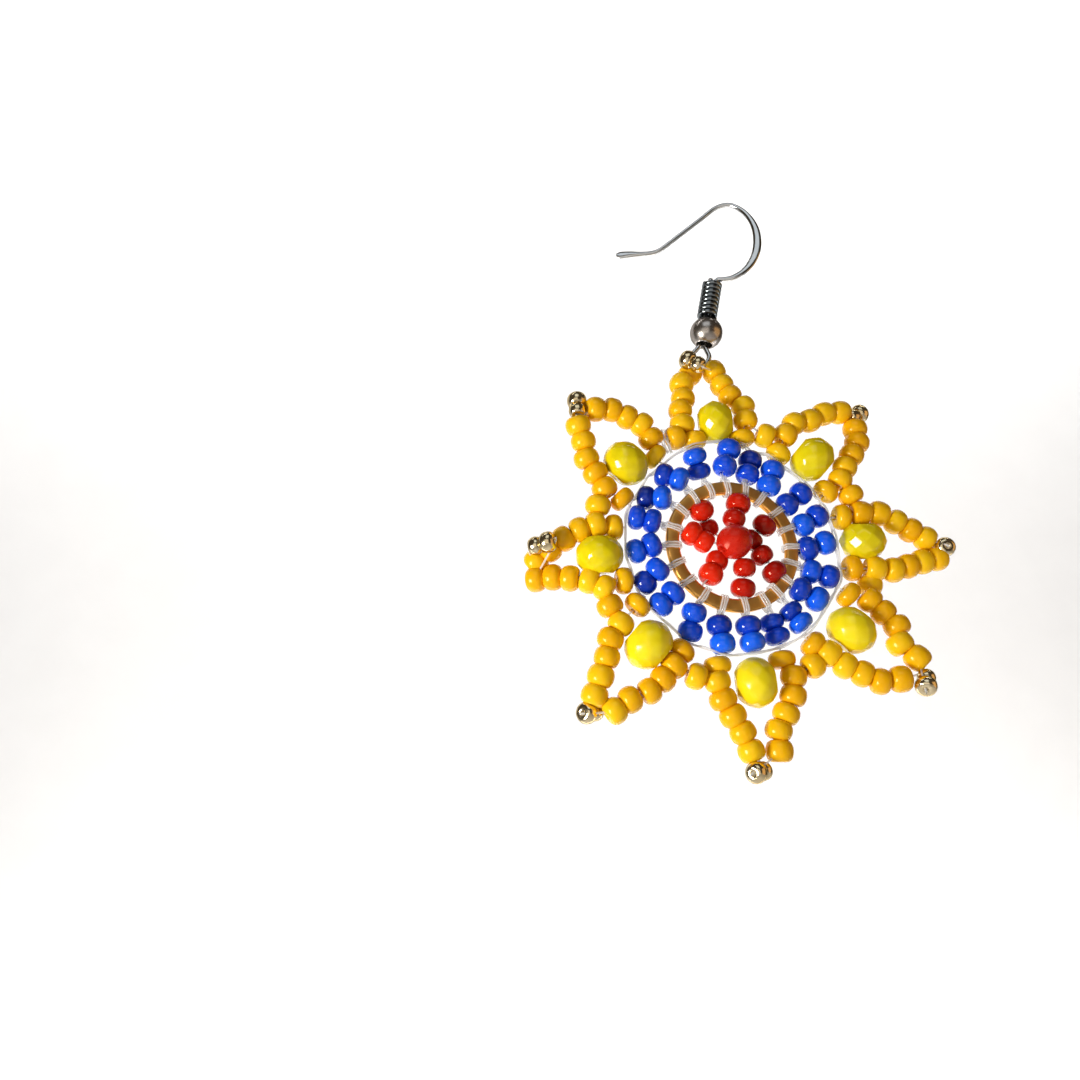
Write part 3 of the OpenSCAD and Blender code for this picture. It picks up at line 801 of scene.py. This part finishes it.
sweep_line = [(SWEEP_FRONT, FLOOR_Z), (WALL_Y - SWEEP_R, FLOOR_Z)]
for a in range(10, 90, 10):
    sweep_line.append((WALL_Y - SWEEP_R + SWEEP_R * sin(radians(a)),
                       FLOOR_Z + SWEEP_R * (1 - cos(radians(a)))))
sweep_line += [(WALL_Y, FLOOR_Z + SWEEP_R), (WALL_Y, SWEEP_TOP)]
sweep_mesh = bpy.data.meshes.new("pale_sweep")
sweep_mesh.from_pydata([(x, y, z) for x in (-SWEEP_WIDE, SWEEP_WIDE) for y, z in sweep_line], [],
                       [(i, i + 1, len(sweep_line) + i + 1, len(sweep_line) + i)
                        for i in range(len(sweep_line) - 1)])
sweep_mesh.shade_smooth()
paper, wire = new_finish("white_paper", Roughness=0.9)
grain = wire.noise(60, 3)
connect(paper, Base_Color=grain.dye((0.86, 0.86, 0.86, 1), (0.90, 0.90, 0.90, 1)))
sweep_mesh.materials.append(paper)
sweep = bpy.data.objects.new("pale_sweep", sweep_mesh)
bpy.context.scene.collection.objects.link(sweep)

world = bpy.data.worlds.new("soft_room")
world.use_nodes = True
room = Wire(world.node_tree)
dim_room = room.node("Background", None, {"Color": (1.0, 0.80, 0.58, 1), "Strength": 0.06})
pale_room = room.node("Background", None, {"Color": (0.82, 0.81, 0.79, 1)})
seen_room = room.node("MixShader", None, {0: room.node("LightPath"), 1: dim_room, 2: pale_room})
world.node_tree.links.new(seen_room.socket,
                          world.node_tree.nodes["World Output"].inputs["Surface"])
bpy.context.scene.world = world
bpy.context.scene.view_settings.view_transform = "Standard"

STAR_MIDDLE = (-0.005, 0, -0.045)
WHITE = (1, 1, 1)
LAMPS = [  # name, place, aimed at, width, height, power, colour
    ("window", (-0.200, -0.083, -0.112), STAR_MIDDLE, 0.06, 0.075, 0.46, (1, 0.98, 0.94)),
    ("warm_bounce", (0.28, -0.14, -0.06), STAR_MIDDLE, 0.30, 0.25, 0.16, (1, 0.58, 0.22)),
    ("sky", (-0.08, -0.38, 0.30), STAR_MIDDLE, 0.35, 0.30, 0.30, (0.85, 0.93, 1)),
    ("room", (-0.21, -0.44, -0.10), STAR_MIDDLE, 0.45, 0.35, 0.36, (1, 0.95, 0.88)),
    ("backdrop_left", (-0.17, 0, 0.364), (-0.20, WALL_Y, 0.33), 0.25, 0.2, 1.42, WHITE),
    ("backdrop_right", (0.27, 0, 0.413), (0.33, WALL_Y, 0.36), 0.25, 0.2, 1.92, WHITE),
    ("backdrop_low", (0.05, 0.14, -0.235), (0.06, WALL_Y, -0.02), 0.6, 0.06, 0.92, WHITE)]

for name, place, aim, wide, high, power, colour in LAMPS:
    lamp = bpy.data.lights.new(name, "AREA")
    lamp.shape = "RECTANGLE"
    lamp.size = wide
    lamp.size_y = high
    lamp.energy = power
    lamp.color = colour
    rig = bpy.data.objects.new(name, lamp)
    bpy.context.scene.collection.objects.link(rig)
    turn = (Vector(aim) - Vector(place)).to_track_quat("-Z", "Y")
    rig.matrix_world = Matrix.Translation(place) @ turn.to_matrix().to_4x4()
